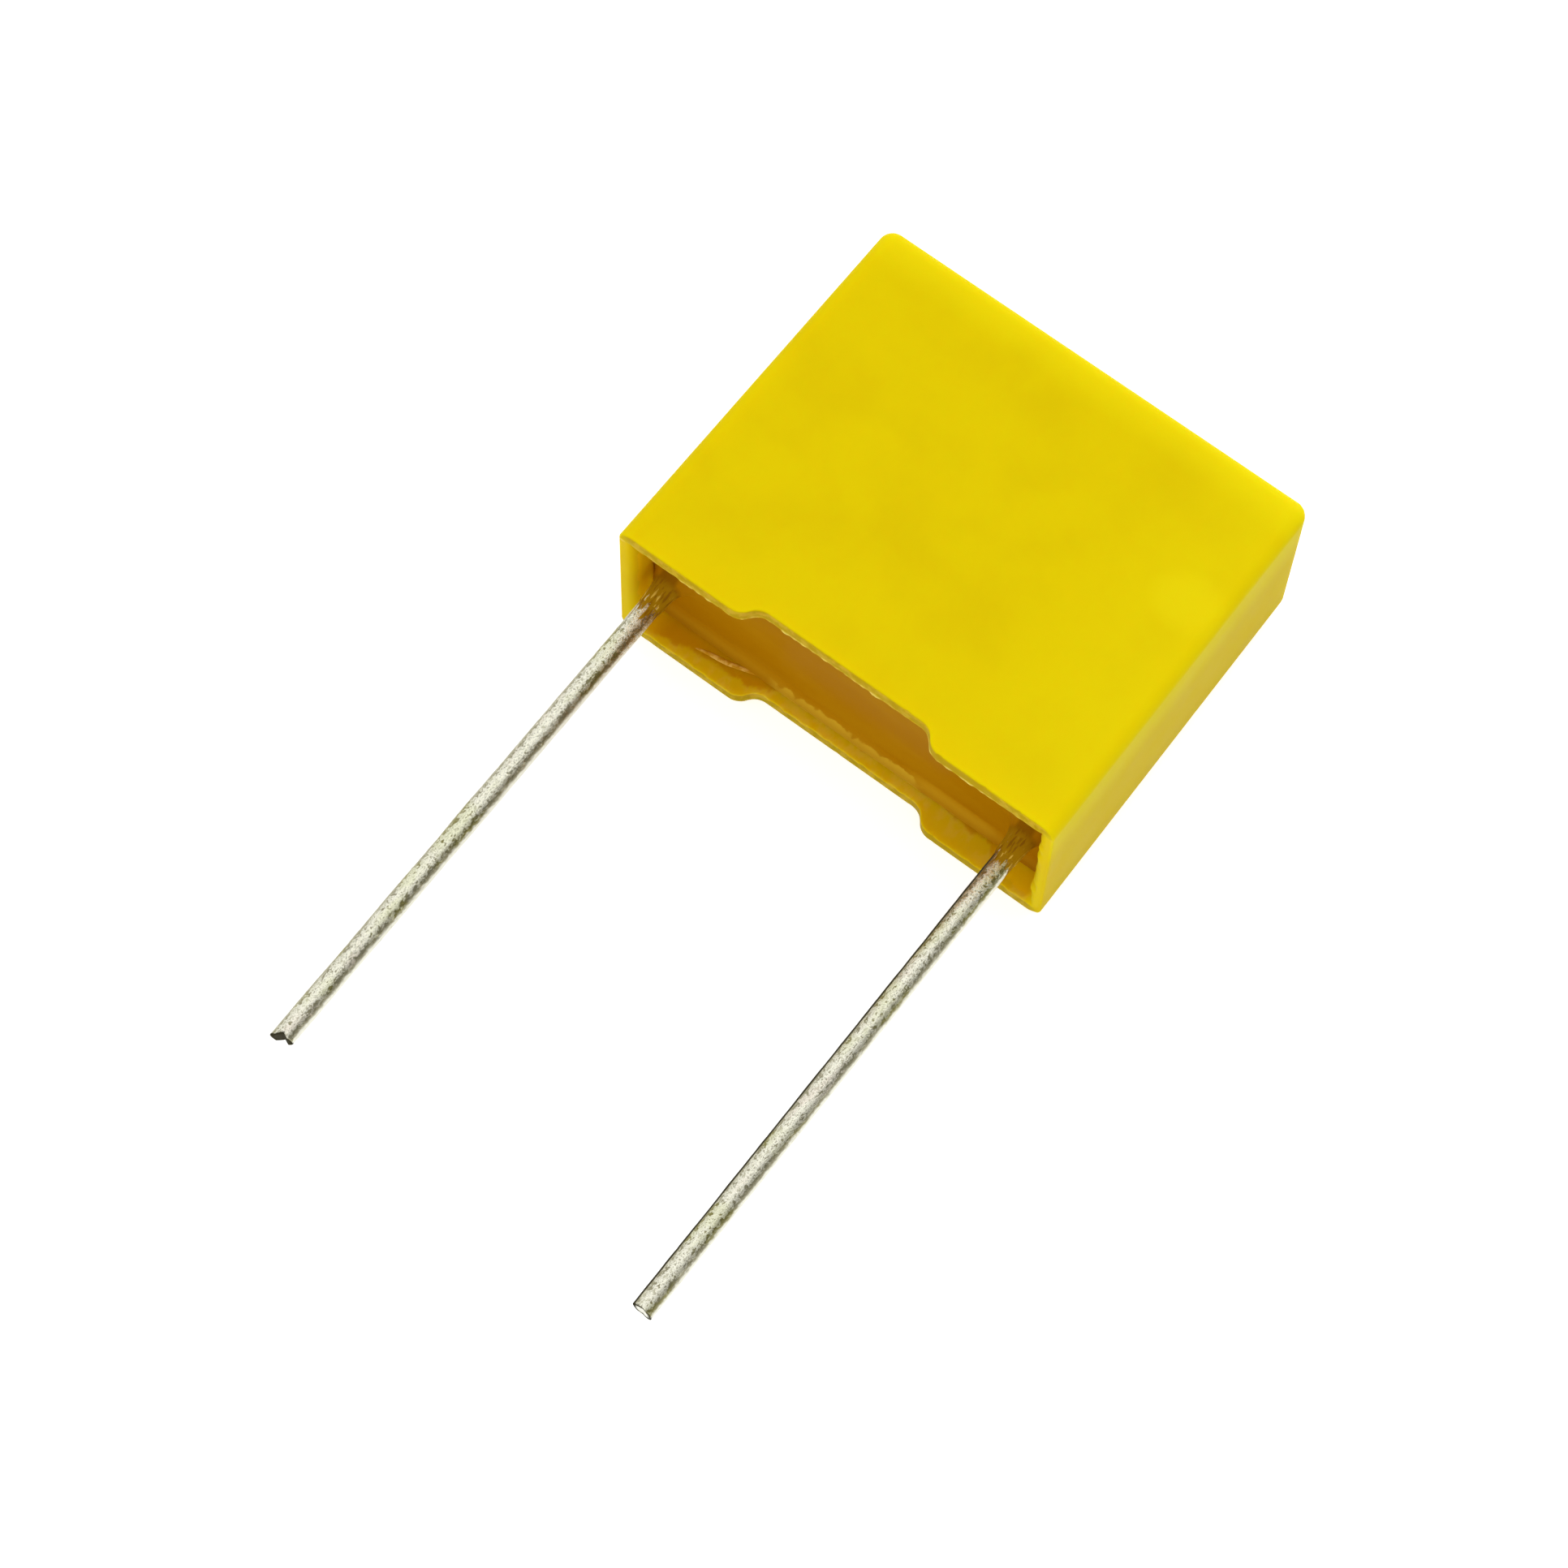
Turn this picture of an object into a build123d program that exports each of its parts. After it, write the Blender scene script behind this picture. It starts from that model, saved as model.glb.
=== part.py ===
from build123d import *

import os
from math import radians, tan

# A potted box-type film capacitor, in millimetres. X runs across the two leads, +Y goes up
# the cup to its closed end, and +Z leaves the front long wall. The origin is midway between
# the leads on the seating plane, where the tips of the cup's feet touch a circuit board.

# Leads: round tinned wire, flattened where each is welded to its contact
lead_pitch = 15.0
lead_diameter = 0.8
lead_length = 20.0  # from the seating plane to the tip
lead_flat_thickness = 0.56
lead_flat_width = 1.0
lead_flat_start = 1.2  # height where the flattening is complete
lead_weld_top = 10.4
weld_depth = 0.1  # how far the flattened wire is bedded in the sprayed metal

# Snipped tips: how far each cut leans, and the groove left by the cutter's jaws
snip_lean_left = 16.0
snip_lean_right = 4.0
snip_groove_width = 0.42
snip_groove_depth = 0.16

# Cup: an injection moulding with drafted walls
case_height = 15.0
case_thickness = 7.5
wall = 0.6
end_wall = 0.8
draft_angle = 0.5
edge_radius = 0.55
cavity_radius = 0.25  # its upright corners and its root
rim_edge_radius = 0.08
end_cover = 0.5  # resin between a lead's outer side and the cup's end wall, at the rim

# Notch in both long walls at the rim, which leaves a foot at each end of the cup
notch_depth = 0.63
notch_floor_length = 6.3
notch_slope_run = 1.15

# Potting resin
fill_gap = 0.42  # from the notch's floor to where the resin meets the walls
meniscus_rise = 0.35
meniscus_lip = 0.03
meniscus_corner_radius = 0.45
skirt_radius = 1.15  # the flare from a lead out to the level surface
coat_length = 0.3  # thin resin on each lead past the seating plane
coat_thickness = 0.06  # where the flare starts
coat_edge = 0.02  # where it ends
core_run_out = 1.0  # the mould core's length outside the cup

# Wound element and its sprayed end contacts
contact_thickness = 0.6
head_cover = 0.7  # resin between the winding and the closed end
base_cover = 1.2  # resin between the winding and the poured surface
side_cover = 0.45  # resin between the winding and a long wall, at the closed end

# Values that follow
lead_radius = lead_diameter / 2
case_width = lead_pitch + 2 * (lead_radius + end_cover + wall)
cavity_width = case_width - 2 * wall
cavity_thickness = case_thickness - 2 * wall
cavity_depth = case_height - end_wall
wall_slope = tan(radians(draft_angle))
contact_line = notch_depth + fill_gap
resin_level = contact_line + meniscus_rise
contact_face = lead_pitch / 2 - lead_flat_thickness / 2 + weld_depth
film_width = 2 * (contact_face - contact_thickness)
winding_base = resin_level + base_cover
winding_top = cavity_depth - head_cover
winding_height = winding_top - winding_base
winding_middle = (winding_top + winding_base) / 2
winding_thickness = cavity_thickness - 2 * (cavity_depth * wall_slope + side_cover)


def level(height):
    """The plane across the cup at a height above the seating plane, looking into the cup."""
    return Plane(origin=(0, height, 0), x_dir=(1, 0, 0), z_dir=(0, 1, 0))


# Mould core: the inside of the cup, carried on past the rim. The cup is cut by it and the
# resin is cast in it, so the two share their faces.
with BuildPart() as core:
    with BuildSketch(level(-core_run_out)):
        Rectangle(cavity_width, cavity_thickness)
    extrude(amount=core_run_out + cavity_depth)
    draft(core.faces().filter_by(Axis.Y, reverse=True), level(0), draft_angle)
    fillet(core.edges().filter_by(lambda edge: edge.center().Y > 0), cavity_radius)


# Cup: drafted block with rounded outer edges, notched at the rim and emptied by the core
with BuildPart() as case:
    with BuildSketch(level(0)):
        Rectangle(case_width, case_thickness)
    extrude(amount=case_height)
    draft(case.faces().filter_by(Axis.Y, reverse=True), level(0), draft_angle)
    fillet(case.edges().filter_by(lambda edge: edge.center().Y > 0), edge_radius)
    # each end of the notch is an S of two equal arcs, level where it meets the rim and the floor
    with BuildSketch(Plane.XY):
        with BuildLine():
            notch_floor = Line(
                (-notch_floor_length / 2, notch_depth), (notch_floor_length / 2, notch_depth)
            )
            for side, corner in ((-1, notch_floor @ 0), (1, notch_floor @ 1)):
                bend = corner + Vector(side * notch_slope_run / 2, -notch_depth / 2)
                mouth = corner + Vector(side * notch_slope_run, -notch_depth)
                TangentArc(corner, bend, tangent=(side, 0))
                TangentArc(mouth, bend, tangent=(-side, 0))
                Line(mouth, mouth + Vector(0, -core_run_out))
            notch_half = notch_floor_length / 2 + notch_slope_run
            Line((-notch_half, -core_run_out), (notch_half, -core_run_out))
        make_face()
    extrude(amount=case_thickness, both=True, mode=Mode.SUBTRACT)
    rim_edges = case.edges().filter_by(
        lambda edge: edge.center().Y < contact_line
        and (
            abs(edge.center().Z) > cavity_thickness / 2
            or abs(edge.center().X) > cavity_width / 2
        )
    )
    fillet(rim_edges, rim_edge_radius)
    add(core.part, mode=Mode.SUBTRACT)
case.part.label = "case"


def snipped_lead(side, lean, grooved):
    """One lead: flattened for its weld, round outside the cup, and cut off at its tip."""
    tip = -lead_length
    with BuildPart() as lead:
        with BuildSketch(level(0)) as wire:
            with Locations((side * lead_pitch / 2, 0)):
                Circle(lead_radius)
        with BuildSketch(level(lead_flat_start)) as flattened:
            with Locations((side * lead_pitch / 2, 0)):
                SlotOverall(lead_flat_width, lead_flat_thickness, rotation=90)
        loft()
        extrude(flattened.sketch, amount=lead_weld_top - lead_flat_start)
        extrude(wire.sketch, amount=-lead_length)
        # the cut leans so that the outer side of the wire is left the longer
        run = lead_diameter * tan(radians(lean))
        with BuildSketch(Plane.XY.offset(-lead_radius)):
            with BuildLine():
                Polyline(
                    (side * (lead_pitch / 2 + lead_radius), tip),
                    (side * (lead_pitch / 2 - lead_radius), tip + run),
                    (side * (lead_pitch / 2 - lead_radius), tip - run),
                    (side * (lead_pitch / 2 + lead_radius), tip - run),
                    close=True,
                )
            make_face()
        extrude(amount=lead_diameter, mode=Mode.SUBTRACT)
        if grooved:
            middle = tip + run / 2
            with BuildSketch(Plane.XY.offset(-lead_radius)):
                with BuildLine():
                    Polyline(
                        (side * lead_pitch / 2, middle + snip_groove_depth),
                        (side * lead_pitch / 2 - snip_groove_width / 2, middle - run),
                        (side * lead_pitch / 2 + snip_groove_width / 2, middle - run),
                        close=True,
                    )
                make_face()
            extrude(amount=lead_diameter, mode=Mode.SUBTRACT)
    return lead.part


lead_left = snipped_lead(-1, snip_lean_left, grooved=True)
lead_left.label = "lead_left"
lead_right = snipped_lead(1, snip_lean_right, grooved=False)
lead_right.label = "lead_right"


# Wound element: metallised film rolled up and pressed flat, one solid of all its turns
with BuildPart() as film_winding:
    with BuildSketch(Plane.YZ.offset(-film_width / 2)):
        with Locations((winding_middle, 0)):
            SlotOverall(winding_height, winding_thickness)
    extrude(amount=film_width)
film_winding.part.label = "film_winding"


def sprayed_contact(side, lead):
    """The metal sprayed on one end of the winding, with the flattened lead bedded in it."""
    with BuildPart() as contact:
        with BuildSketch(Plane.YZ.offset(side * film_width / 2)):
            with Locations((winding_middle, 0)):
                SlotOverall(winding_height, winding_thickness)
        extrude(amount=side * contact_thickness)
        add(lead, mode=Mode.SUBTRACT)
    return contact.part


contact_left = sprayed_contact(-1, lead_left)
contact_left.label = "contact_left"
contact_right = sprayed_contact(1, lead_right)
contact_right.label = "contact_right"


# Potting: resin cast in the cup round everything else. Its surface is dished by a meniscus
# along the walls and climbs each lead in a flared skirt that thins out past the rim.
with BuildPart() as resin_fill:
    add(core.part)
    split(bisect_by=level(contact_line), keep=Keep.TOP)
    with BuildSketch(level(contact_line)):
        surface_inset = contact_line * wall_slope + meniscus_lip
        RectangleRounded(
            cavity_width - 2 * surface_inset,
            cavity_thickness - 2 * surface_inset,
            meniscus_corner_radius,
        )
    extrude(amount=meniscus_rise, mode=Mode.SUBTRACT)
    dish_floor = resin_fill.faces().filter_by(Axis.Y).sort_by(Axis.Y)[1]
    fillet(dish_floor.edges(), meniscus_rise - meniscus_lip)
    for side in (-1, 1):
        axis_x = side * lead_pitch / 2
        with BuildSketch(Plane.XY):
            with BuildLine():
                thin_end = Vector(axis_x + lead_radius + coat_edge, -coat_length)
                foot = Vector(axis_x + lead_radius + coat_thickness, resin_level - skirt_radius)
                level_end = foot + Vector(skirt_radius, skirt_radius)
                Line(thin_end, foot)
                TangentArc(foot, level_end, tangent=(0, 1))
                Polyline(
                    level_end,
                    (level_end.X, winding_base),
                    (axis_x, winding_base),
                    (axis_x, -coat_length),
                    thin_end,
                )
            make_face()
        revolve(axis=Axis((axis_x, 0, 0), (0, 1, 0)))
    add(core.part, mode=Mode.INTERSECT)
    for piece in (film_winding.part, contact_left, contact_right, lead_left, lead_right):
        add(piece, mode=Mode.SUBTRACT)
resin_fill.part.label = "resin_fill"


os.makedirs("parts", exist_ok=True)
pieces = (
    case.part,
    resin_fill.part,
    film_winding.part,
    contact_left,
    contact_right,
    lead_left,
    lead_right,
)
for piece in pieces:
    export_step(piece, f"parts/{piece.label}.step")
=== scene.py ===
import bpy
import numpy as np
from mathutils import Matrix, Vector


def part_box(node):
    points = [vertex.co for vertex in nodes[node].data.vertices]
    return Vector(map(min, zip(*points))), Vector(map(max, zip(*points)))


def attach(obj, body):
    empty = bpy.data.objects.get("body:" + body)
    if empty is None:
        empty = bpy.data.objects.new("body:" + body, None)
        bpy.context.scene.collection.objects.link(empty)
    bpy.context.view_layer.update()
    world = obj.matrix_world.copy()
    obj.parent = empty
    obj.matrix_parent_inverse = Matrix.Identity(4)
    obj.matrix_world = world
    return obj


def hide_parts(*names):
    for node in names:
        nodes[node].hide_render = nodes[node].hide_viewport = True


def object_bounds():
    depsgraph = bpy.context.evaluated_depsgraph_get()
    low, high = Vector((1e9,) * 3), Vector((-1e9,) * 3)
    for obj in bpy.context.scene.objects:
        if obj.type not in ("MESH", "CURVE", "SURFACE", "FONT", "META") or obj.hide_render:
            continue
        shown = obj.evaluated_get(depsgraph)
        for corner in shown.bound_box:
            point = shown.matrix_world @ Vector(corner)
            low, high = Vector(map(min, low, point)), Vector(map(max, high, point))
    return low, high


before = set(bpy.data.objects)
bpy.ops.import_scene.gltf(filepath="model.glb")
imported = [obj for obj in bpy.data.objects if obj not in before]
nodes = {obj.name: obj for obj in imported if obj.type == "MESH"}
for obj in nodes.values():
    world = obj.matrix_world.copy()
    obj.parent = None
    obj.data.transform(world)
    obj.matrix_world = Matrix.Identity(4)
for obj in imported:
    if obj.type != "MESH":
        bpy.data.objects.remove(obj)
cad_low, cad_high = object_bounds()


# ---------------------------------------------------------------------------------------
# Case: the yellow cup, one injection moulding in polyester. Its wide faces have sunk a
# little as they cooled, and the open rim is notched, slightly flashed and bruised.

half_width, case_height, half_thickness = np.array(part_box("case")[1]) * 1000.0
draft = np.tan(np.radians(0.5))
wall = 0.6
end_wall = 0.8
outer_radius = 0.55
cavity_radius = 0.25
notch_depth = 0.63
notch_floor = 3.15  # from the middle to where the notch starts to fall
notch_run = 1.15
outer_rim_radius = 0.08
inner_face = half_thickness - wall  # of a long wall, at the rim


def ripples(points, size, seed, waves=14):
    """Smooth waviness of about +-1: a sum of sine waves in directions and phases drawn once.

    The wavelengths run from 0.7 to 1.8 times the size."""
    draw = np.random.default_rng(seed)
    ways = draw.normal(size=(waves, 3))
    ways /= np.linalg.norm(ways, axis=1, keepdims=True)
    lengths = size * draw.uniform(0.7, 1.8, waves)
    turns = points @ (ways / lengths[:, None]).T * 2 * np.pi + draw.uniform(0, 2 * np.pi, waves)
    return np.sin(turns).sum(axis=-1) / np.sqrt(waves / 2)


def ease(value, low, high):
    """0 below low, 1 above high and an S between."""
    t = np.clip((value - low) / (high - low), 0.0, 1.0)
    return t * t * (3.0 - 2.0 * t)


def outward(grid):
    """Unit normals of a grid of points that closes round its second axis.

    Each is the cross product of the steps around and along the grid at that point."""
    along = np.gradient(grid, axis=0)
    around = np.roll(grid, -1, axis=1) - np.roll(grid, 1, axis=1)
    normal = np.cross(around, along)
    return normal / np.maximum(np.linalg.norm(normal, axis=-1, keepdims=True), 1e-12)


def closed_skin(name, grid, slot, material, node=None, **marks):
    """A closed piece from rings of points in millimetres, one ring a row.

    Neighbouring rings are joined by four-sided faces, and the first and last ring by a fan
    to their middles. If the volume comes out negative, every face is turned over. Each mark
    is a number for every point, kept as an attribute that the material reads."""
    rings, around = grid.shape[:2]
    points = np.vstack([grid.reshape(-1, 3), grid[0].mean(axis=0), grid[-1].mean(axis=0)])
    row, column = np.mgrid[0:rings - 1, 0:around]
    following = (column + 1) % around
    quads = np.stack([row * around + column, row * around + following,
                      (row + 1) * around + following, (row + 1) * around + column], axis=-1)
    first, last = rings * around, rings * around + 1
    step = np.arange(around)
    after = (step + 1) % around
    end = (rings - 1) * around
    fans = np.vstack([np.stack([after, step, np.full(around, first)], axis=-1),
                      np.stack([end + step, end + after, np.full(around, last)], axis=-1)])
    quads = quads.reshape(-1, 4)
    corners = points[quads]
    volume = np.einsum("ij,ij->i", corners[:, 0], np.cross(corners[:, 1], corners[:, 2])).sum()
    volume += np.einsum("ij,ij->i", corners[:, 0], np.cross(corners[:, 2], corners[:, 3])).sum()
    if volume < 0:
        quads, fans = quads[:, ::-1], fans[:, ::-1]
    mesh = bpy.data.meshes.new(name)
    mesh.from_pydata((points * 0.001).tolist(), [], quads.tolist() + fans.tolist())
    mesh.shade_smooth()
    mesh.materials.append(material)
    for mark, values in marks.items():
        values = np.concatenate([values.ravel(), [values[0].mean(), values[-1].mean()]])
        layer = mesh.attributes.new(mark, "FLOAT", "POINT")
        layer.data.foreach_set("value", values.astype(np.float32))
    piece = bpy.data.objects.new(name, mesh)
    bpy.context.scene.collection.objects.link(piece)
    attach(piece, "root")
    if node:
        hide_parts(node)


class Field:
    """A number, colour or vector that varies over a surface, held as one shader socket.

    Arithmetic on fields adds Math nodes, so masks are written as plain expressions."""

    def __init__(self, tree, socket):
        self.tree = tree
        self.socket = socket

    def node(self, kind, settings=(), output=0, **inputs):
        """Adds a node, applies its settings, then fills its sockets by name or number."""
        made = self.tree.nodes.new(kind)
        for name, value in dict(settings).items():
            setattr(made, name, value)
        for name, value in inputs.items():
            numbered = name[0] == "s" and name[1:].isdigit()
            socket = made.inputs[int(name[1:]) if numbered else name.replace("_", " ")]
            if isinstance(value, Field):
                self.tree.links.new(value.socket, socket)
            else:
                socket.default_value = value
        return Field(self.tree, made.outputs[output])

    def maths(self, operation, *values):
        """Adds a Math node on fields and plain numbers."""
        sockets = {f"s{i}": value for i, value in enumerate(values)}
        return self.node("ShaderNodeMath", {"operation": operation}, **sockets)

    def __add__(self, other):
        return self.maths("ADD", self, other)

    __radd__ = __add__

    def __sub__(self, other):
        return self.maths("SUBTRACT", self, other)

    def __rsub__(self, other):
        return self.maths("SUBTRACT", other, self)

    def __mul__(self, other):
        return self.maths("MULTIPLY", self, other)

    __rmul__ = __mul__

    def __abs__(self):
        return self.maths("ABSOLUTE", self)

    def ramp(self, low, high):
        """0 at low, 1 at high and an S between, whichever of the two is the greater."""
        return self.node("ShaderNodeMapRange", {"interpolation_type": "SMOOTHSTEP"},
                         s0=self, s1=low, s2=high, s3=0.0, s4=1.0)

    def bump(self, height):
        """A normal tilted by a height field, given in metres."""
        return self.node("ShaderNodeBump", Height=height, Strength=1.0, Distance=1.0)


def blend(mask, first, second):
    """The first colour where the mask is 0 and the second where it is 1."""
    colours = [c if isinstance(c, Field) else (*c, 1.0) for c in (first, second)]
    return mask.node("ShaderNodeMix", {"data_type": "RGBA"}, output=2,
                     s0=mask, s6=colours[0], s7=colours[1])


def noise(place, size, detail=2.0, roughness=0.5, stretch=(1.0, 1.0, 1.0)):
    """Cloudy noise from 0 to 1 with features of a size in millimetres."""
    scale = tuple(1000.0 / (size * s) for s in stretch)
    scaled = place.node("ShaderNodeVectorMath", {"operation": "MULTIPLY"}, s0=place, s1=scale)
    return place.node("ShaderNodeTexNoise", Vector=scaled, Scale=1.0, Detail=detail,
                      Roughness=roughness)


def mark_of(place, mark):
    """A mark that the piece's mesh carries, as a field."""
    return place.node("ShaderNodeAttribute", {"attribute_name": mark}, output=2)


def new_material(name):
    """A material, its shader, the object's own coordinates, and their x, y, z in mm."""
    material = bpy.data.materials.new(name)
    material.use_nodes = True
    tree = material.node_tree
    place = Field(tree, tree.nodes.new("ShaderNodeTexCoord").outputs["Object"])
    split = place.node("ShaderNodeSeparateXYZ", s0=place).socket.node.outputs
    in_mm = [Field(tree, split[axis]) * 1000.0 for axis in range(3)]
    return material, tree.nodes["Principled BSDF"], place, in_mm


def finish(shader, **inputs):
    """Links what varies, and sets what is the same all over on the shader itself."""
    for name, value in inputs.items():
        socket = shader.inputs[name.replace("_", " ")]
        if isinstance(value, Field):
            value.tree.links.new(value.socket, socket)
        else:
            socket.default_value = value


yellow_polyester, shader, place, (x, y, z) = new_material("yellow_polyester")
yellow = (0.80, 0.615, 0.001)
painted_light_yellow = (0.88, 0.73, 0.003)
deep_yellow = (0.755, 0.565, 0.001)
highlight_yellow = (0.95, 0.80, 0.006)
end_shade_tan = (0.73, 0.505, 0.001)
end_yellow = (0.82, 0.64, 0.001)
ochre = (0.72, 0.44, 0.003)
olive = (0.71, 0.47, 0.003)
rim_shade_olive = (0.48, 0.32, 0.002)
stained_brown = (0.60, 0.28, 0.0006)
stained_ochre = (0.83, 0.52, 0.001)
smear_and_highlight = (0.77, 0.51, 0.045)
pale_lip_yellow = (0.95, 0.72, 0.14)

# outside: cloudy, painted paler at the closed end and to the right, with a painted highlight,
# and painted duller on the two end walls for their shade
clouds = noise(place, 3.4, detail=3.0)
colour = blend(clouds.ramp(0.38, 0.72) * 0.8, yellow, deep_yellow)
# painted light: paler towards the closed end and to the right
painted_light_band = y.ramp(13.2, 14.5) * 0.6 + x.ramp(3.0, 9.0) * 0.35
colour = blend(painted_light_band, colour, painted_light_yellow)
# painted highlight: a soft bright spot on the front face, right of the middle
painted_highlight_spot = ((x - 7.7) * (x - 7.7) + (y - 9.5) * (y - 9.5) * 1.7).ramp(3.2, 0.0)
colour = blend(painted_highlight_spot * 0.28, colour, highlight_yellow)
# painted shade: the end walls painted duller, tan lower down towards the table
painted_end_shade = (abs(x) + y * draft).ramp(8.80, 8.98) * abs(z).ramp(3.65, 3.2)
colour = blend(painted_end_shade * 0.8, colour, blend(z.ramp(0.4, 2.8), end_shade_tan, end_yellow))

# inside: a lining painted darker ochre and olive for the shade in the cup, smeared from just
# under the resin's wet line and stained above.
# The line climbs from the left foot to the notch and drops again to the right foot.
strokes = noise(place, 0.38, detail=4.0, roughness=0.6, stretch=(1.0, 1.8, 1.0))
inward = mark_of(place, "inward")
inside = (inward + (strokes - 0.5) * 0.6).ramp(0.70, 0.85)
painted_shade_lining = blend(z.ramp(0.3, -0.3), ochre, olive)
# painted shade: the rims of the long walls painted deep olive
painted_shade_lining = blend(abs(z).ramp(3.16, 3.24), painted_shade_lining, rim_shade_olive)
colour = blend(inward, colour, painted_shade_lining)
wet_line = (x.ramp(-8.0, -5.5) * 0.35 + x.ramp(-4.2, -2.6) * 0.65 - x.ramp(3.5, 6.0) * 0.25
            - x.ramp(6.0, 7.2) * 0.65 + 0.15)
above = y - wet_line + (strokes - 0.5) * 0.7
# partly dried resin, partly a painted highlight: a pale smear just under the wet line, where the
# meniscus meets the wall
smear = above.ramp(-0.9, -0.3) * strokes.ramp(0.42, 0.60) * 0.45
colour = blend(inside * smear, colour, smear_and_highlight)
stain = blend(abs(x + 0.6).ramp(6.6, 7.9), stained_brown, stained_ochre)
colour = blend(inside * above.ramp(-0.1, 0.12) * 0.95, colour, stain)
# a pale ragged line painted along the front wall's inner lip
colour = blend(mark_of(place, "wear"), colour, pale_lip_yellow)
grain = noise(place, 0.14, detail=2.0)
satin = noise(place, 1.4, detail=3.0) * 0.16 + 0.36
finish(shader, Base_Color=colour, Roughness=satin, Normal=place.bump(grain * 0.0000035),
       Specular_IOR_Level=0.012, Subsurface_Weight=0.5, Subsurface_Scale=0.0008,
       Subsurface_Radius=(1.0, 0.6, 0.05))


def rim_height(across):
    """Height of the rim along the cup: 0 on the feet, and the notch's depth between them.

    Each end of the notch is an S of two equal arcs, level at both ends. Their radius is
    (run * run + rise * rise) / (2 * rise), for half of the S's run and rise."""
    t = np.clip((notch_floor + notch_run - np.abs(across)) / notch_run, 0.0, 1.0)
    run, rise = notch_run / 2, notch_depth / 2
    radius = (run * run + rise * rise) / (2 * rise)
    low_half = radius - np.sqrt(radius ** 2 - (np.minimum(t, 0.5) * notch_run) ** 2)
    high_half = radius - np.sqrt(radius ** 2 - (np.minimum(1 - t, 0.5) * notch_run) ** 2)
    return np.where(t < 0.5, low_half, notch_depth - high_half)


def cup_rings():
    """The whole skin of the cup as rings, from the middle of the closed end, down the
    outside, over the rim and up the inside to the middle of the cavity's end, and how far
    inward each point lies: 0 outside, 1 inside.

    A ring is a rectangle with round corners. A point on it is (s, t), its share of the
    straight half-lengths, plus the corner radius times the outward direction."""
    # once round a ring: four times a corner and the straight side that follows it
    long_steps = np.linspace(-1, 1, 211)[:-1]
    short_steps = np.linspace(-1, 1, 61)[:-1]
    turn = np.linspace(0, np.pi / 2, 9)[:-1]
    s, t, angle = [], [], []
    for side, (sx, sz) in enumerate([(1, 1), (-1, 1), (-1, -1), (1, -1)]):
        steps = long_steps if side % 2 == 0 else short_steps
        corner = np.full(len(turn), 1.0)
        s += [corner * sx, -steps * sx if side % 2 == 0 else np.full(len(steps), sx)]
        t += [corner * sz, np.full(len(steps), sz) if side % 2 == 0 else -steps * sz]
        angle += [side * np.pi / 2 + turn, np.full(len(steps), (side + 1) * np.pi / 2)]
    s, t, angle = [np.concatenate(part) for part in (s, t, angle)]
    way_x, way_z = np.cos(angle), np.sin(angle)

    quarter = np.linspace(0, np.pi / 2, 8)
    # the rim's inner edge is nearly sharp on the long walls and rolls in softly at the ends
    roll_width = 0.04 + 0.28 * way_x ** 2
    roll_depth = 0.04 + 0.56 * way_x ** 2
    sharpest = 0.02  # corner radius below which the points of a corner would fall together
    flat_reach = 2.6  # how far in from its edge the closed end is ringed
    flat_corner = 0.4
    rings = []

    def ring(height, inset, corner, shrink=1.0):
        """A ring at a height, set in from the drafted outside, shrunk about the middle."""
        height = height + np.zeros_like(s)
        corner = np.maximum(corner, sharpest)
        reach_x = half_width - height * draft - inset - corner
        reach_z = half_thickness - height * draft - inset - corner
        rings.append(np.stack([(reach_x * s + corner * way_x) * shrink, height,
                               (reach_z * t + corner * way_z) * shrink], axis=-1))

    def at_rim(rise, inset, corner):
        """A ring that keeps a rise above the rim, found from where each point lies."""
        reach = half_width - inset - corner
        height = rim_height(reach * s + corner * way_x)
        ring(height + rise, inset, corner)

    # the closed end and its rounded edge
    for inset in flat_reach * (1 - np.linspace(0, 1, 25)[:-1] ** 1.5):
        ring(case_height, outer_radius + inset, min(inset, flat_corner))
    for a in quarter:
        inset = outer_radius * (1 - np.sin(a))
        ring(case_height - outer_radius * (1 - np.cos(a)), inset, outer_radius - inset)

    # the outside, from the rounded edge down to the rim, and the rim's outer edge
    top = case_height - outer_radius
    for share in np.linspace(0, 1, 74)[1:-1]:
        reach = half_width - outer_radius
        foot = rim_height(reach * s + outer_radius * way_x) + outer_rim_radius
        ring(top + (foot - top) * share, 0.0, outer_radius)
    for a in np.linspace(0, np.pi / 2, 5):
        inset = outer_rim_radius * (1 - np.cos(a))
        at_rim(outer_rim_radius * (1 - np.sin(a)), inset, outer_radius - inset)

    # the flat of the rim and its inner edge
    rim_start = len(rings)
    for share in np.linspace(0, 1, 6)[1:-1]:
        inset = outer_rim_radius + (wall - roll_width - outer_rim_radius) * share
        corner = outer_radius - outer_rim_radius
        at_rim(0.0, inset, corner + (cavity_radius - corner) * share)
    rim_end = len(rings)
    for a in quarter:
        at_rim(roll_depth * (1 - np.cos(a)), wall - roll_width * (1 - np.sin(a)), cavity_radius)

    # the cavity's walls, its rounded root and its end
    depth = case_height - end_wall
    floor = depth - cavity_radius
    reach = half_width - wall - cavity_radius
    start = rim_height(reach * s + cavity_radius * way_x) + roll_depth
    for share in np.linspace(0, 1, 26)[1:-1] ** 2:
        ring(start + (floor - start) * share, wall, cavity_radius)
    for a in quarter:
        inset = cavity_radius * (1 - np.cos(a))
        ring(floor + cavity_radius * np.sin(a), wall + inset, cavity_radius - inset)
    for shrink in np.linspace(0.95, 0.05, 6):
        ring(depth, wall + cavity_radius, 0.0, shrink)

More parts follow.
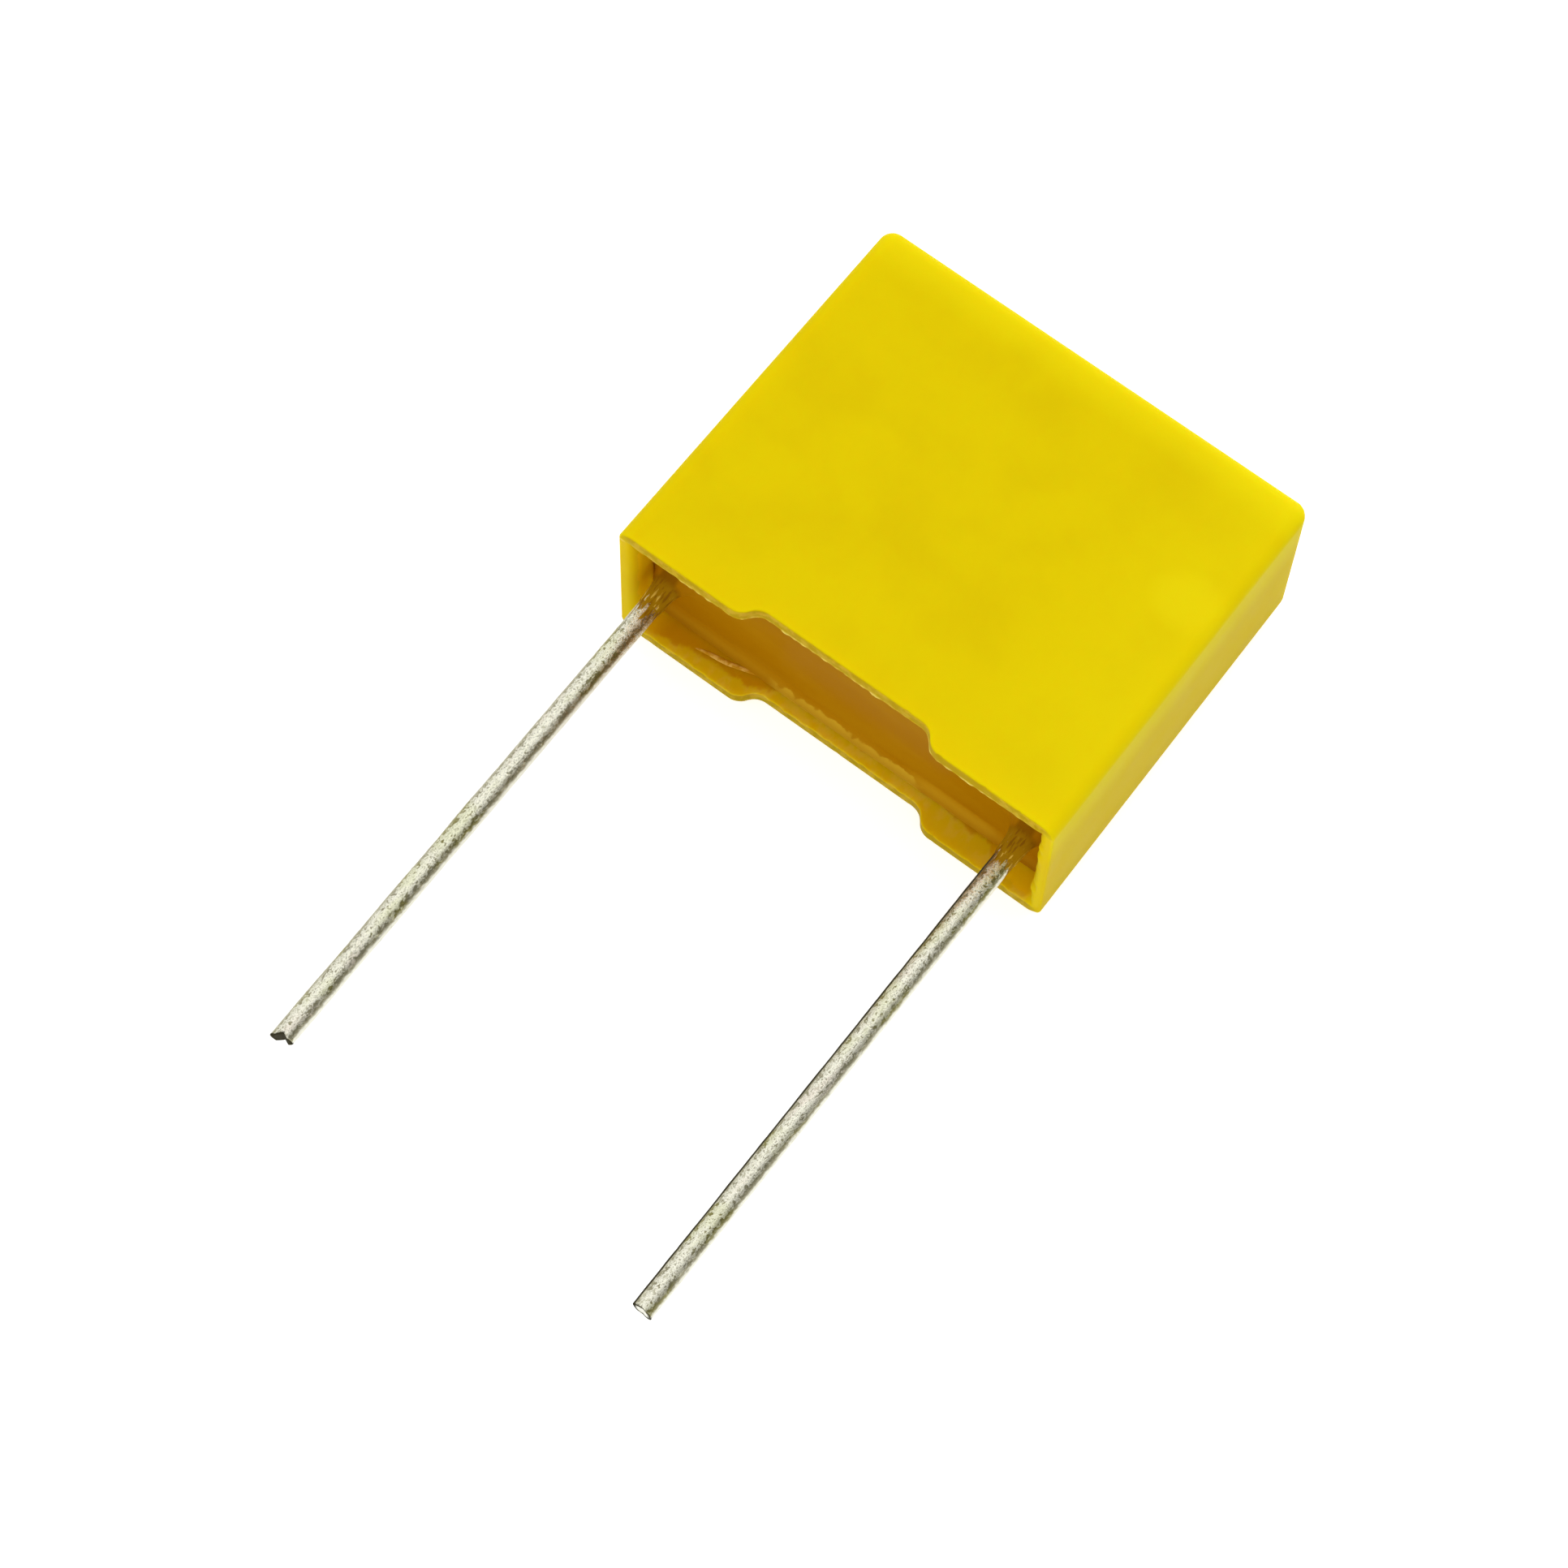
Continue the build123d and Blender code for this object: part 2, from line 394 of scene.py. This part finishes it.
    # the inside starts at the rim on the long walls, and past its inner edge at the ends
    steps = np.arange(len(rings))[:, None]
    on_rim = 1.0 - 0.6 * way_x ** 2
    inward = ease(steps, rim_start - 4, rim_start) * on_rim
    inward = np.maximum(inward, ease(steps, rim_end, rim_end + 7))
    return np.stack(rings), inward


sink_depth = 0.07
wave_depth = 0.006
bruise_depth = 0.015
flash_depth = 0.03
lip_drop = 0.016
lip_middle = 3.17  # how far the inner lip of a long wall lies from the middle of the cup

cup, inward = cup_rings()
normals = outward(cup)
cx, cy, cz = np.moveaxis(cup, -1, 0)
over_rim = cy - rim_height(cx)

# the wide faces are sunk in the middle and wave a little
outer_side = ease(np.abs(cz), 3.3, 3.5)
wide = ease(np.abs(normals[..., 2]), 0.95, 1.0) * outer_side
middle = (1 - ease(np.abs(cx), 3.0, 8.2)) * (1 - ease(np.abs(cy - 7.6), 2.5, 6.6))
relief = -wide * sink_depth * middle
relief -= wave_depth * (1 + ripples(cup, 2.6, seed=3)) * outer_side

# the long walls' rims are bruised, and the right end wall has a line of flash inside
near_rim = 1 - ease(over_rim, 0.02, 0.35)
bruises = np.maximum(ripples(cup, 0.3, seed=5, waves=40) - 1.0, 0.0) * bruise_depth
relief = relief * (1 - near_rim) - near_rim * bruises * (np.abs(cz) > 3.0)
flash = ease(cx, 8.3, 8.4) * (1 - ease(cx, 8.62, 8.75)) * (1 - ease(cy, 0.7, 1.0))
flash = flash * (1 - ease(np.abs(cz), 2.2, 2.9))
relief += flash * flash_depth * ripples(cup, 0.5, seed=6, waves=40)
cup = cup + normals * relief[..., None]

# the rim's inner lip is ragged, and painted pale along the front wall
inner_lip = np.exp(-((np.abs(cz) - lip_middle) / 0.05) ** 2)
inner_lip = inner_lip * (1 - ease(over_rim, 0.0, 0.15))
ragged = np.maximum(ripples(cup, 0.35, seed=8, waves=40) + 0.6, 0.0)
cup[..., 1] -= inner_lip * ragged * lip_drop * (cy < 2.0)
wear = np.clip(inner_lip * (cz > 0) * (0.75 * ragged - 0.15), 0.0, 1.0) * (cy < 1.2)
closed_skin("moulded_case", cup, "case", yellow_polyester, node="case", wear=wear,
            inward=inward)


# ---------------------------------------------------------------------------------------
# Resin: amber epoxy cast into the cup to just above the notch. It wets the walls, has
# run up both leads, and has set glossy and a little uneven.

def dress(node, material):
    """Gives a CAD node its material."""
    mesh = nodes[node].data
    mesh.materials.clear()
    mesh.materials.append(material)


film_brown = (0.41, 0.22, 0.004)
film_dark = (0.24, 0.095, 0.005)
film_highlight = (0.82, 0.56, 0.09)


def resin_film(place, y):
    """Where a film of resin covers the tin of a lead, frayed into runs, and its colour."""
    runs = noise(place, 0.15, detail=3.0, stretch=(1.0, 5.0, 1.0))
    cover = (y + (runs - 0.5) * 2.6).ramp(-0.72, -0.50)
    fine = noise(place, 0.10, detail=2.0, stretch=(1.0, 7.0, 1.0))
    film = blend(fine.ramp(0.47, 0.38) * 0.7, film_brown, film_dark)
    # painted highlights: pale streaks in the film, more towards its frayed end
    film = blend(fine.ramp(0.60, 0.66) * y.ramp(0.6, -0.2), film, film_highlight)
    return cover, film


lead_pitch = 15.0
amber_resin, shader, place, (x, y, z) = new_material("amber_resin")
amber = (0.44, 0.185, 0.0006)
honey = (0.62, 0.34, 0.010)
shade_umber = (0.26, 0.105, 0.001)
shore_ochre = (0.66, 0.40, 0.02)
bare_tin = (0.86, 0.84, 0.70)

# the cast surface: paler near the back wall, partly where it thins out and partly a painted
# highlight of the meniscus; darker in front of a lead, a painted reflection and shade of the
# lead
flow = noise(place, 2.4, detail=3.0, stretch=(2.4, 1.0, 0.8))
colour = blend(flow.ramp(0.42, 0.75) * 0.2, amber, honey)
shore = (z + (noise(place, 0.4, detail=4.0) - 0.5) * 0.3).ramp(-3.02, -3.07)
# painted highlight of the meniscus, partly thin resin over the wall
lip = z.ramp(-2.65, -3.1) * x.ramp(2.0, 3.5) * x.ramp(6.8, 5.6)
colour = blend(lip * 0.7, colour, honey)
colour = blend(z.ramp(-2.95, -3.1) * 0.3, colour, honey)
colour = blend(shore * x.ramp(-3.6, -2.9) * x.ramp(3.3, 2.7), colour, shore_ochre)
from_lead = abs(abs(x) - lead_pitch / 2)
# painted reflection and shade: umber in front of each lead
lead_reflection_streak = from_lead.ramp(0.42, 0.24) * z.ramp(-0.3, 0.3)
colour = blend(lead_reflection_streak * 0.85, colour, shade_umber)

# the skirts on the leads: a film that frays out and leaves the tin bare
on_wire = (from_lead * from_lead + z * z).ramp(0.36, 0.25)
cover, film = resin_film(place, y)
# painted shade: the skirt is umber where it dips into the resin
coat = blend(y.ramp(0.95, 0.35), shade_umber, film)
colour = blend(on_wire, colour, blend(cover, bare_tin, coat))
ripple = noise(place, 1.8, detail=1.0, stretch=(2.0, 1.0, 0.8)) * 0.00004
finish(shader, Base_Color=colour, Roughness=flow * 0.12 + 0.24,
       Metallic=on_wire * (1.0 - cover), Normal=place.bump(ripple), Specular_IOR_Level=0.005)
dress("resin_fill", amber_resin)

thin_resin, shader, place, (x, y, z) = new_material("thin_resin")
smear = noise(place, 0.25, detail=3.0)
run_brown = (0.60, 0.30, 0.01)
run_pale = (0.80, 0.49, 0.09)
colour = blend(smear.ramp(0.4, 0.6), run_brown, run_pale)
finish(shader, Base_Color=colour, Roughness=smear * 0.2 + 0.25, Specular_IOR_Level=0.05)


def resin_run():
    """A thin run of resin down the back wall, as rings across a slanting line.

    Each ring is half a lens on the wall, with a shallow keel in it: its half-width times
    the cosine of a turn and its thickness times the sine. Both shrink towards the ends of
    the run with the square root of a sine, and the line wanders with a slower sine."""
    half_bead = 0.09
    thickness = 0.032
    keel = 0.008
    t = np.linspace(0, 1, 60)[:, None]
    taper = np.sqrt(np.sin(np.pi * np.clip(t, 0.004, 0.996)))
    along = -6.2 + 2.3 * t
    height = 0.60 + 0.46 * t + 0.02 * np.sin(9 * t)
    turn = np.linspace(0, 2 * np.pi, 17)[:-1][None, :]
    lift = half_bead * np.cos(turn) * taper
    thick = np.where(np.sin(turn) > 0, thickness, keel) * np.sin(turn) * taper
    back = -(inner_face - height * draft)
    return np.stack([along - 0.2 * lift, height + lift, back + thick], axis=-1)


closed_skin("resin_run_on_wall", resin_run(), "resin", thin_resin)


# ---------------------------------------------------------------------------------------
# Leads: copper wire, hot-tinned, flattened inside where they are welded. The tin has
# frozen in fine mottles with small pits, and the cutter squeezed the tips.

tinned_wire, shader, place, (x, y, z) = new_material("tinned_wire")
bright_tin = (0.95, 0.935, 0.79)
grey_tin = (0.56, 0.54, 0.40)
green_tin = (0.76, 0.78, 0.48)
pink_tin = (0.88, 0.74, 0.66)
stripe_grey = (0.33, 0.31, 0.20)
stripe_green = (0.26, 0.24, 0.09)
under_tin = (0.72, 0.71, 0.60)
shade_black = (0.035, 0.03, 0.012)

# mottled tin, tinged green and pink, with a painted dark reflection along the front flank
mottle = noise(place, 0.13, detail=5.0, roughness=0.75, stretch=(1.0, 1.7, 1.0))
tint = noise(place, 0.9, detail=3.0, stretch=(1.0, 2.0, 1.0))
colour = blend(mottle.ramp(0.49, 0.62), bright_tin, grey_tin)
colour = blend(tint.ramp(0.5, 0.66) * 0.45, colour, green_tin)
colour = blend(tint.ramp(0.44, 0.32) * 0.35, colour, pink_tin)
# painted dark reflection: a dull stripe along the front flank
painted_dark_stripe = (z + (mottle - 0.5) * 0.8).ramp(0.36, 0.30)
colour = blend(painted_dark_stripe, colour, blend(tint.ramp(0.52, 0.60), stripe_grey, stripe_green))
colour = blend((z + (mottle - 0.5) * 0.4).ramp(0.25, 0.13), colour, under_tin)

# painted dark: a line down each wire's left side, a painted dark reflection at its edge, and the
# cuts painted dark for their shade
right_dark_outline = (lead_pitch / 2 - x).ramp(0.285, 0.31) * x.ramp(6.0, 7.0)
left_dark_outline = (-lead_pitch / 2 - x).ramp(0.35, 0.39) * 0.4
dark = (right_dark_outline + left_dark_outline) * 0.95 + mark_of(place, "cut")
colour = blend(dark, colour, shade_black)
cover, film = resin_film(place, y)
colour = blend(cover, colour, film)
finish(shader, Base_Color=colour, Roughness=mottle * 0.2 + 0.14 + dark * 0.7,
       Metallic=(1.0 - dark) * (1.0 - cover), Normal=place.bump(mottle * 0.00003),
       Specular_IOR_Level=0.05)

wire_radius = 0.4
flat_thickness = 0.56
flat_width = 1.0
flat_start = 1.2  # height where the flattening is complete
wire_top = 10.4
wire_end = -20.0
rolled_edge = 0.04  # height of the small rounding at each end
rolled_in = 0.10  # how much it narrows the end, as a share of the radius
rolled_steps = 4
face_shrinks = [0.75, 0.55, 0.35, 0.18, 0.06]  # the rings of an end's flat face
groove_reach = 0.21  # from the middle of the jaws' groove to its edge
skin_depth = 0.0022
pit_depth = 0.01
drift_depth = 0.004


def closing_rings(row, heading):
    """The rings that close an end: a small rolled edge, then in to the middle.

    The edge is a quarter turn, its sine along the wire and its cosine across it."""
    turn = np.linspace(0, np.pi / 2, rolled_steps + 1)[1:]
    shrink = np.concatenate([1 - rolled_in * (1 - np.cos(turn)), face_shrinks])
    out = np.concatenate([rolled_edge * np.sin(turn), np.full(len(face_shrinks), rolled_edge)])
    ends = np.repeat(row[None], len(shrink), axis=0)
    ends[..., 0] *= shrink[:, None]
    ends[..., 2] *= shrink[:, None]
    ends[..., 1] += heading * (out - rolled_edge)[:, None]
    return ends


def wire_rings(side, lean, groove, face_tone):
    """A wire as rings across it, from its welded end to its snipped tip, and how dark the cut
    is painted at each point, for its shade.

    A ring is a circle, and a slot where the wire is flattened. Near the tip the rings tilt
    by the tangent of the cut's lean, and the jaws' groove lifts them in a V. The tin adds
    fine waves, a slow drift and pits, which are the crests of waves over a level."""
    angle = np.linspace(0, 2 * np.pi, 57)[:-1]
    height = np.concatenate([np.linspace(wire_top, flat_start, 12)[:-1],
                             np.linspace(flat_start, 0, 14)[:-1], np.linspace(0, wire_end, 400)])
    flat = ease(height, 0.0, flat_start)[:, None]
    across = wire_radius + (flat_thickness / 2 - wire_radius) * flat
    spread = (flat_width / 2 - flat_thickness / 2) * flat
    local_x = across * np.cos(angle)
    local_z = across * np.sin(angle) + spread * np.clip(np.sin(angle) * 5, -1, 1)
    rows = np.stack([local_x, height[:, None] + 0 * local_x, local_z], axis=-1)
    rows = np.concatenate([closing_rings(rows[0], 1)[::-1], rows, closing_rings(rows[-1], -1)])

    # the cut leans, and the cutter's jaws left a groove across it
    lx, ly, lz = np.moveaxis(rows, -1, 0)
    near_tip = 1 - ease(ly, wire_end + 0.05, wire_end + 1.2)
    at_tip = 1 - ease(ly, wire_end + 0.06, wire_end + 0.3)
    slope = np.tan(np.radians(lean))
    pinch = groove * np.maximum(1 - np.abs(lx) / groove_reach, 0) * at_tip
    rows[..., 1] += near_tip * slope * (wire_radius - side * lx) + pinch

    # the tin's skin, only past the resin
    normal = outward(rows)
    bare = 1 - ease(ly, -0.45, -0.35)
    placed = rows + np.array([side * lead_pitch / 2, 0, 0])
    drawn_out = placed * [1, 0.6, 1]
    skin = skin_depth * ripples(drawn_out, 0.5, seed=20 + side)
    pits = pit_depth * np.maximum(ripples(drawn_out, 0.2, seed=30 + side, waves=40) - 1.3, 0)
    drift = drift_depth * ripples(placed * [0, 1, 0], 3.0, seed=40 + side)
    away = np.sign(np.einsum("ijk,ijk->ij", normal, rows * [1, 0, 1]).mean())
    rings = placed + away * normal * ((skin - pits + drift) * bare)[..., None]

    # the cut face is painted as dark as its tone, and its edge fully dark, for their shade
    reach = np.hypot(lx, lz) / wire_radius
    face_start = len(ly) - rolled_steps - len(face_shrinks)
    face = (np.arange(len(ly)) >= face_start)[:, None]
    cut = face * (face_tone + (1 - face_tone) * ease(reach, 0.62, 0.80))
    return rings, cut


# the left wire was cut at a slant, with a groove and a face painted dark for its shade; the
# right one nearly square
for side, name, lean, groove, face_tone in ((-1, "left", 16.0, 0.16, 0.95),
                                            (1, "right", 4.0, 0.03, 0.0)):
    rings, cut = wire_rings(side, lean, groove, face_tone)
    closed_skin(f"tinned_lead_{name}", rings, "tinned_wire", tinned_wire,
                node=f"lead_{name}", cut=cut)


# ---------------------------------------------------------------------------------------
# Winding and its ends, sealed in the resin: silvery metallised film rolled up and pressed,
# and coarse grey zinc flame-sprayed on both ends of the roll.

wound_film, shader, place, (x, y, z) = new_material("wound_film")
film_grey = (0.50, 0.51, 0.54)
film_silver = (0.72, 0.73, 0.76)
turns = noise(place, 0.05, detail=1.0, stretch=(200.0, 1.0, 1.0))
colour = blend(turns, film_grey, film_silver)
finish(shader, Base_Color=colour, Roughness=0.28, Normal=place.bump(turns * 0.000004),
       Metallic=0.7)
dress("film_winding", wound_film)

sprayed_zinc, shader, place, (x, y, z) = new_material("sprayed_zinc")
dark_zinc = (0.36, 0.37, 0.39)
pale_zinc = (0.62, 0.63, 0.65)
spatter = noise(place, 0.12, detail=4.0, roughness=0.7)
colour = blend(spatter, dark_zinc, pale_zinc)
finish(shader, Base_Color=colour, Roughness=0.62, Normal=place.bump(spatter * 0.00005),
       Metallic=0.8)
for side in ("left", "right"):
    dress("contact_" + side, sprayed_zinc)


# ---------------------------------------------------------------------------------------
# Stage: a pale table, a soft studio with one dim side, and the camera.

half_table = 3.0
table_corners = [(a * half_table, b * half_table, cad_low.z)
                 for a, b in ((-1, -1), (1, -1), (1, 1), (-1, 1))]
mesh = bpy.data.meshes.new("table")
mesh.from_pydata(table_corners, [], [(0, 1, 2, 3)])
table = bpy.data.objects.new("table", mesh)
bpy.context.scene.collection.objects.link(table)
pale_table, shader, place, (x, y, z) = new_material("pale_table")
tree = pale_table.node_tree
plain = Field(tree, shader.outputs[0])  # what the lamps and the object's shadow fall on
finish(shader, Base_Color=(0.86, 0.86, 0.86, 1.0), Roughness=0.9, Specular_IOR_Level=0.0)
# seen straight or in the metal, the table glows up to white; its light on the part is plain
rays = tree.nodes.new("ShaderNodeLightPath").outputs
seen = (Field(tree, rays["Is Camera Ray"]) + Field(tree, rays["Is Glossy Ray"])
        + Field(tree, rays["Is Transmission Ray"]))
glow = seen.node("ShaderNodeEmission", Color=(1, 1, 1, 1), Strength=0.55)
lifted = seen.node("ShaderNodeAddShader", s0=glow, s1=plain)
shown = seen.node("ShaderNodeMixShader", s0=seen, s1=plain, s2=lifted)
tree.links.new(shown.socket, tree.nodes["Material Output"].inputs["Surface"])
mesh.materials.append(pale_table)

world = bpy.data.worlds.new("studio")
bpy.context.scene.world = world
world.use_nodes = True
tree = world.node_tree
low_grey = (0.70, 0.70, 0.70)
high_white = (1.13, 1.13, 1.13)
dim_brown = (0.03, 0.025, 0.012)
panel_north = 0.314  # the middle of the dark panel
heading = Field(tree, tree.nodes.new("ShaderNodeTexCoord").outputs["Generated"])
split = heading.node("ShaderNodeSeparateXYZ", s0=heading).socket.node.outputs
east, north, up = [Field(tree, split[axis]) for axis in range(3)]
room = blend(up * 0.86 + north * 0.30 + east * 0.07, low_grey, high_white)
# a dark panel on the right-hand side draws the stripe down each wire
dim_side = east.ramp(0.0, 0.85) * 0.9 * abs(north - panel_north).ramp(0.50, 0.25)
room = blend(dim_side, room, dim_brown)
background = tree.nodes["Background"].inputs
background["Strength"].default_value = 1.0
tree.links.new(room.socket, background["Color"])

for name, size, energy, hung in (("rear_softbox", 0.22, 0.7, Vector((0.08, 0.45, 0.20))),
                                 ("low_softbox", 0.30, 0.3, Vector((0.05, -0.40, 0.10)))):
    lamp = bpy.data.lights.new(name, "AREA")
    lamp.shape = "SQUARE"
    lamp.size = size
    lamp.energy = energy
    softbox = bpy.data.objects.new(name, lamp)
    aim = (cad_low + cad_high) / 2 - hung
    turned = aim.to_track_quat("-Z", "Y").to_matrix().to_4x4()
    softbox.matrix_world = Matrix.Translation(hung) @ turned
    bpy.context.scene.collection.objects.link(softbox)

# the camera looks down on the front wall, from nearly above it
camera_data = bpy.data.cameras.new("camera")
camera_data.sensor_width = 36.0
camera_data.lens = 108.8
camera_data.clip_start = 0.01
camera = bpy.data.objects.new("camera", camera_data)
stands_at = Vector((0.0345, -0.0525, 0.1467))
look = Vector((-0.217, 0.314, -0.924)).normalized()
upright = Vector((-0.565, 0.732, 0.382))
right = look.cross(upright).normalized()
turned = Matrix((right, right.cross(look), -look)).transposed().to_4x4()
camera.matrix_world = Matrix.Translation(stands_at) @ turned
bpy.context.scene.collection.objects.link(camera)
bpy.context.scene.camera = camera
bpy.context.scene.view_settings.view_transform = "Standard"
